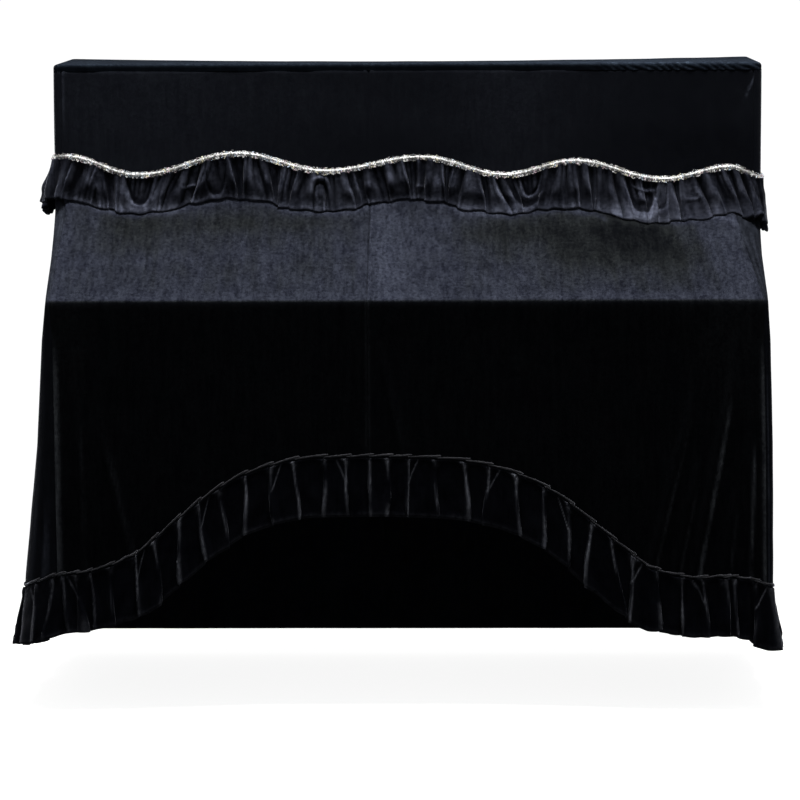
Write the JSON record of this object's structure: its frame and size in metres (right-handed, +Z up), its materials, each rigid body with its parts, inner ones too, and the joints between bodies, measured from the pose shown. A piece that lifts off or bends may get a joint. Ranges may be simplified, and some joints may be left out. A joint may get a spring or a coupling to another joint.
{
  "type": "fitted piano cover",
  "caption": "Fitted black velvet cover for an upright piano: a hollow of sewn panels with a waved glitter cord, a gathered ruffle and an arched, pleated hem that clears the player's knees.",
  "frame": {"origin": "under side of the top panel, at its middle from end to end and from front to back", "axes": "+X to the right as seen from the front, -Y out of the front, +Z up"},
  "size_m": [1.6231, 0.7068, 1.282],
  "materials": {
    "velvet_top": "velvet pile with a soft sheen",
    "velvet_bib": "velvet pile",
    "velvet_skirt": "velvet pile",
    "velvet_side": "velvet pile",
    "velvet_back": "velvet pile",
    "velvet_ruffle": "gathered velvet pile",
    "velvet_heading": "stitched velvet roll",
    "glitter_silver": "silver glitter beads on a cord"
  },
  "bodies": {
    "root": {"top_panel": "velvet_top", "bib_front": "velvet_bib", "bib_left": "velvet_bib", "bib_right": "velvet_bib", "back_panel": "velvet_back", "skirt_front_left": "velvet_skirt", "skirt_front_right": "velvet_skirt", "side_left": "velvet_side", "side_right": "velvet_side", "trim_cord": "glitter_silver", "ruffle_upper_front": "velvet_ruffle", "ruffle_upper_left": "velvet_ruffle", "ruffle_upper_right": "velvet_ruffle", "heading_cord": "velvet_heading", "ruffle_lower_front_left": "velvet_ruffle", "ruffle_lower_front_right": "velvet_ruffle", "ruffle_lower_left": "velvet_ruffle", "ruffle_lower_right": "velvet_ruffle"}
  },
  "joints": []
}
